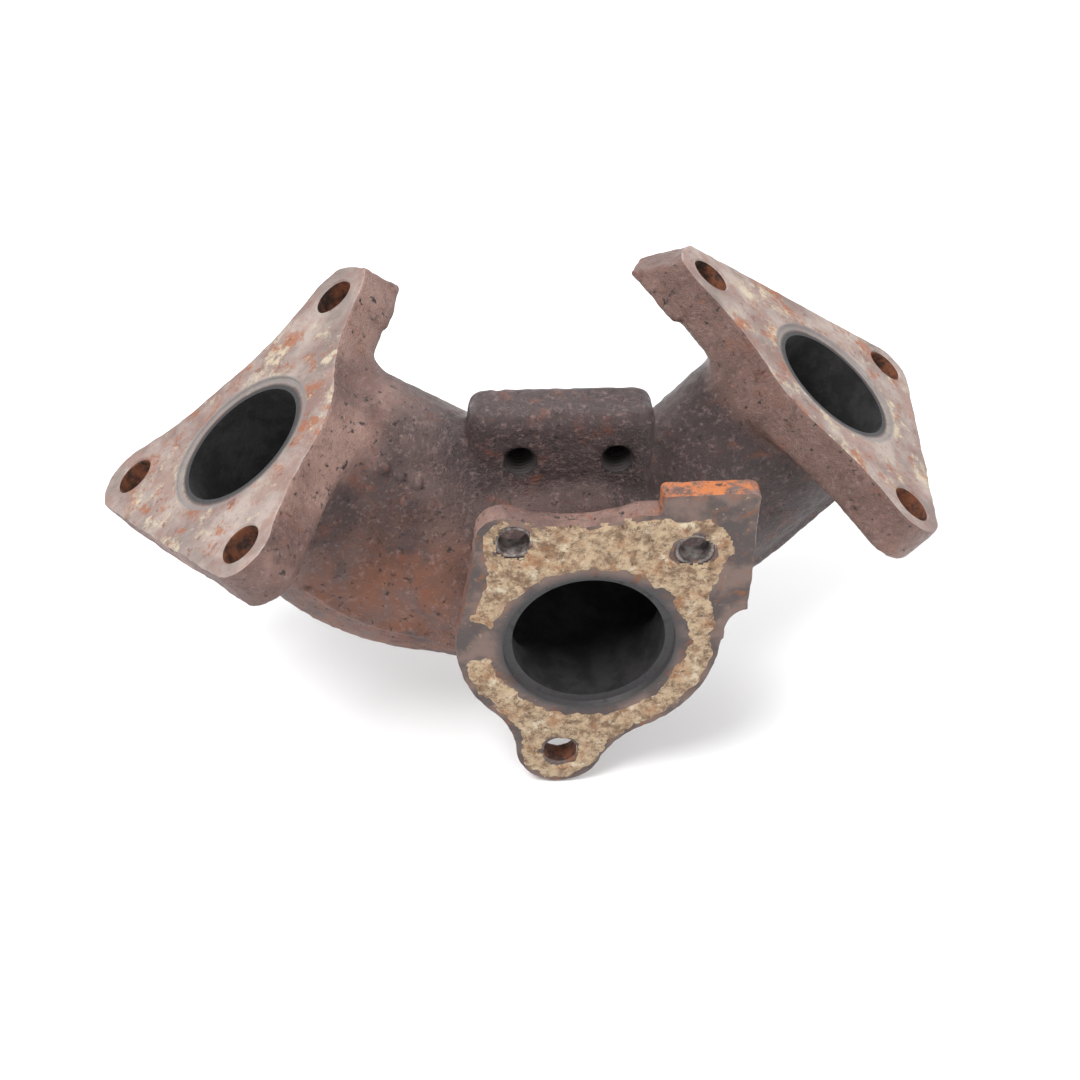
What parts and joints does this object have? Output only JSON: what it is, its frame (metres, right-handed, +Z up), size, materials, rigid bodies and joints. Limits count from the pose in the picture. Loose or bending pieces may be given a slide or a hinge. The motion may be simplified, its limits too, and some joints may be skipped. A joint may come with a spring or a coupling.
{
  "type": "exhaust manifold",
  "caption": "Rusted cast iron exhaust manifold: flanged side ports join in one flanged outlet, with a tapped bracket pad on top.",
  "frame": {"origin": "centre of the outlet port, on the outlet face", "axes": "+X to the right along the manifold's length, +Y back from the outlet face, +Z up"},
  "size_m": [0.2168, 0.1104, 0.1131],
  "materials": {
    "cast_iron": "rough sand-cast, oxidised purple-brown with orange rust",
    "flange_iron": "machined face, pale oxide with cream and orange crust",
    "outlet_iron": "machined face, dark oxide, rusted edges",
    "sleeve_steel": "dull, heat-darkened",
    "residue": "crumbly tan gasket residue and scale"
  },
  "bodies": {
    "root": {"left_flange": "flange_iron", "left_runner": "cast_iron", "left_elbow": "cast_iron", "left_gusset": "cast_iron", "left_web": "cast_iron", "right_flange": "flange_iron", "right_runner": "cast_iron", "right_elbow": "cast_iron", "right_gusset": "cast_iron", "collector": "cast_iron", "outlet_neck": "cast_iron", "outlet_flange": "outlet_iron", "bracket_pad": "cast_iron", "locating_sleeves": "sleeve_steel", "gasket_residue": "residue", "left_parting_line": "cast_iron", "right_parting_line": "cast_iron"}
  },
  "joints": []
}
